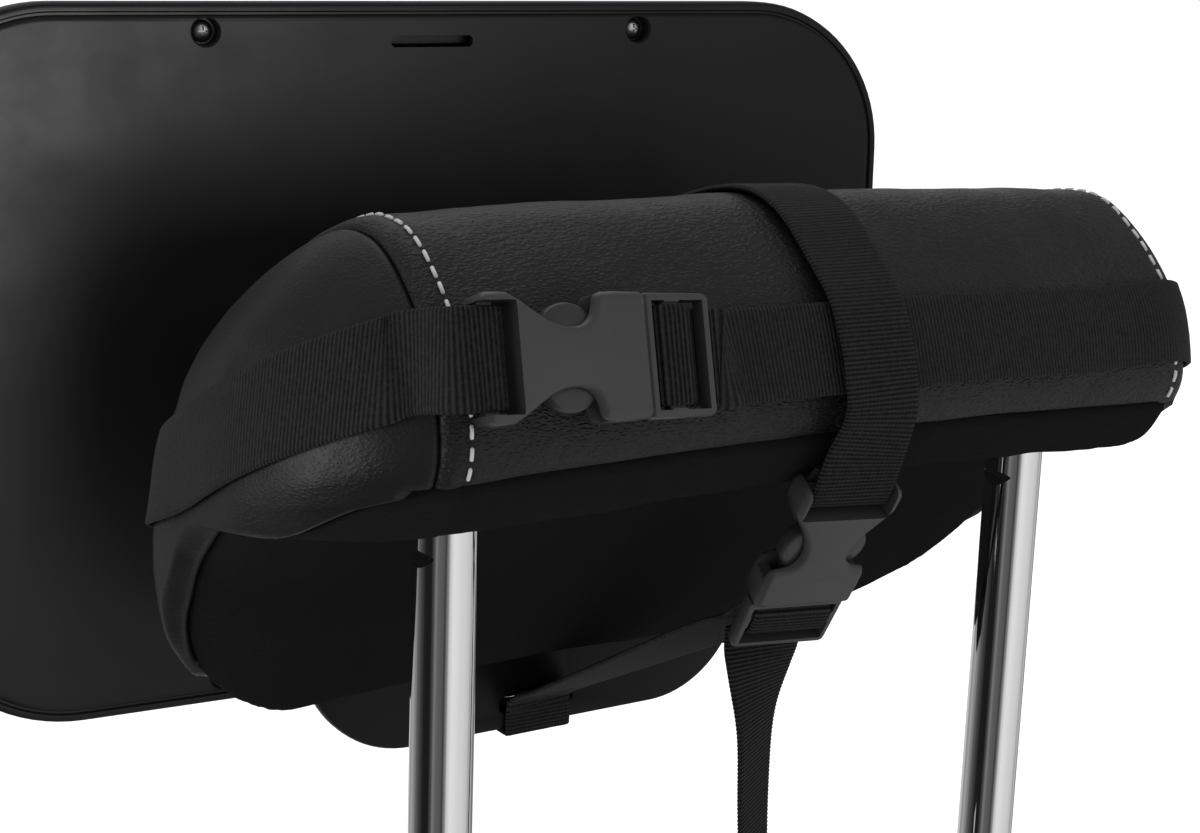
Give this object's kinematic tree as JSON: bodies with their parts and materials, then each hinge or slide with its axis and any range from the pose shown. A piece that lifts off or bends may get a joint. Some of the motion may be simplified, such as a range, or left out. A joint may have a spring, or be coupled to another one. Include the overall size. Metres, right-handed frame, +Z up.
{
  "type": "car headrest with back-seat mirror",
  "caption": "Padded leather car headrest on two chrome posts, with a strap-on swivelling back-seat mirror held by crossed webbing straps and side-release buckles.",
  "frame": {"origin": "midway between the lower ends of the two posts", "axes": "+X along the headrest from the left post to the right post, +Y from the seat back towards the passenger side of the headrest and on to the mirror, +Z up along the posts"},
  "size_m": [0.2952, 0.2245, 0.276],
  "materials": {
    "leather": "black pebble-grain leather with light stitching",
    "felt": "black needle felt",
    "webbing": "black cross-ribbed webbing",
    "black_plastic": "satin moulded plastic",
    "chrome": "polished chrome plate",
    "steel": "plain zinc-plated steel",
    "foam": "moulded polyurethane foam",
    "mirror_coat": "silvered acrylic mirror"
  },
  "bodies": {
    "headrest": {"foam_core": "foam", "cover_centre": "leather", "cover_left": "leather", "cover_right": "leather", "underside_felt": "felt", "post_left": "chrome", "post_right": "chrome", "frame_crossbar": "steel", "frame_plate": "steel", "strap_left": "webbing", "strap_right": "webbing", "strap_top": "webbing", "strap_bottom": "webbing", "upper_socket": "black_plastic", "upper_plug": "black_plastic", "lower_socket": "black_plastic", "lower_plug": "black_plastic", "base_plate": "black_plastic"},
    "tail": {"strap_tail": "webbing"},
    "collar": {"lock_collar": "black_plastic"},
    "ball": {"pivot_ball": "black_plastic"},
    "stem": {"pivot_stem": "black_plastic"},
    "mirror": {"mounting_flange": "black_plastic", "flange_screw_1": "steel", "flange_screw_2": "steel", "flange_screw_3": "steel", "mirror_back_shell": "black_plastic", "mirror_bezel": "black_plastic", "mirror_sheet": "mirror_coat", "mirror_backing": "foam", "housing_screw_1": "steel", "housing_screw_2": "steel", "housing_screw_3": "steel", "housing_screw_4": "steel"},
    "prong_upper_low": {"upper_prong_low": "black_plastic"},
    "prong_upper_high": {"upper_prong_high": "black_plastic"},
    "prong_lower_left": {"lower_prong_left": "black_plastic"},
    "prong_lower_right": {"lower_prong_right": "black_plastic"}
  },
  "joints": [
    {"name": "mirror_tilt", "type": "hinge", "parent": "headrest", "child": "ball", "pos_m": [-0.0115, 0.1108, 0.1752], "axis": [1, 0, 0], "range_deg": [-18, 18]},
    {"name": "mirror_pan", "type": "hinge", "parent": "ball", "child": "stem", "pos_m": [-0.0115, 0.1108, 0.1752], "axis": [0, 0, 1], "range_deg": [-12, 26]},
    {"name": "mirror_spin", "type": "hinge", "parent": "stem", "child": "mirror", "pos_m": [-0.0115, 0.1108, 0.1752], "axis": [0.137, 0.9904, 0.0157], "continuous": true},
    {"name": "collar_turn", "type": "hinge", "parent": "headrest", "child": "collar", "pos_m": [-0.0115, 0.1108, 0.1752], "axis": [0, 1, 0], "range_deg": [0, 120]},
    {"name": "tail_swing", "type": "hinge", "parent": "headrest", "child": "tail", "pos_m": [0.00306, -0.00102, 0.12823], "axis": [1, 0, 0], "range_deg": [-50, 3]},
    {"name": "upper_low_release", "type": "hinge", "parent": "headrest", "child": "prong_upper_low", "pos_m": [-0.0628, -0.04208, 0.20431], "axis": [0.042, 0.9505, -0.3078], "range_deg": [0, 7], "stiffness_Nm_per_rad": 0.8},
    {"name": "upper_high_release", "type": "hinge", "parent": "headrest", "child": "prong_upper_high", "pos_m": [-0.06219, -0.0389, 0.21419], "axis": [-0.042, -0.9505, 0.3078], "range_deg": [0, 7], "stiffness_Nm_per_rad": 0.8},
    {"name": "lower_left_release", "type": "hinge", "parent": "headrest", "child": "prong_lower_left", "pos_m": [-0.00355, -0.01377, 0.14554], "axis": [0.1495, 0.8381, 0.5247], "range_deg": [0, 7], "stiffness_Nm_per_rad": 0.8},
    {"name": "lower_right_release", "type": "hinge", "parent": "headrest", "child": "prong_lower_right", "pos_m": [0.00671, -0.01539, 0.14521], "axis": [-0.1495, -0.8381, -0.5247], "range_deg": [0, 7], "stiffness_Nm_per_rad": 0.8}
  ]
}
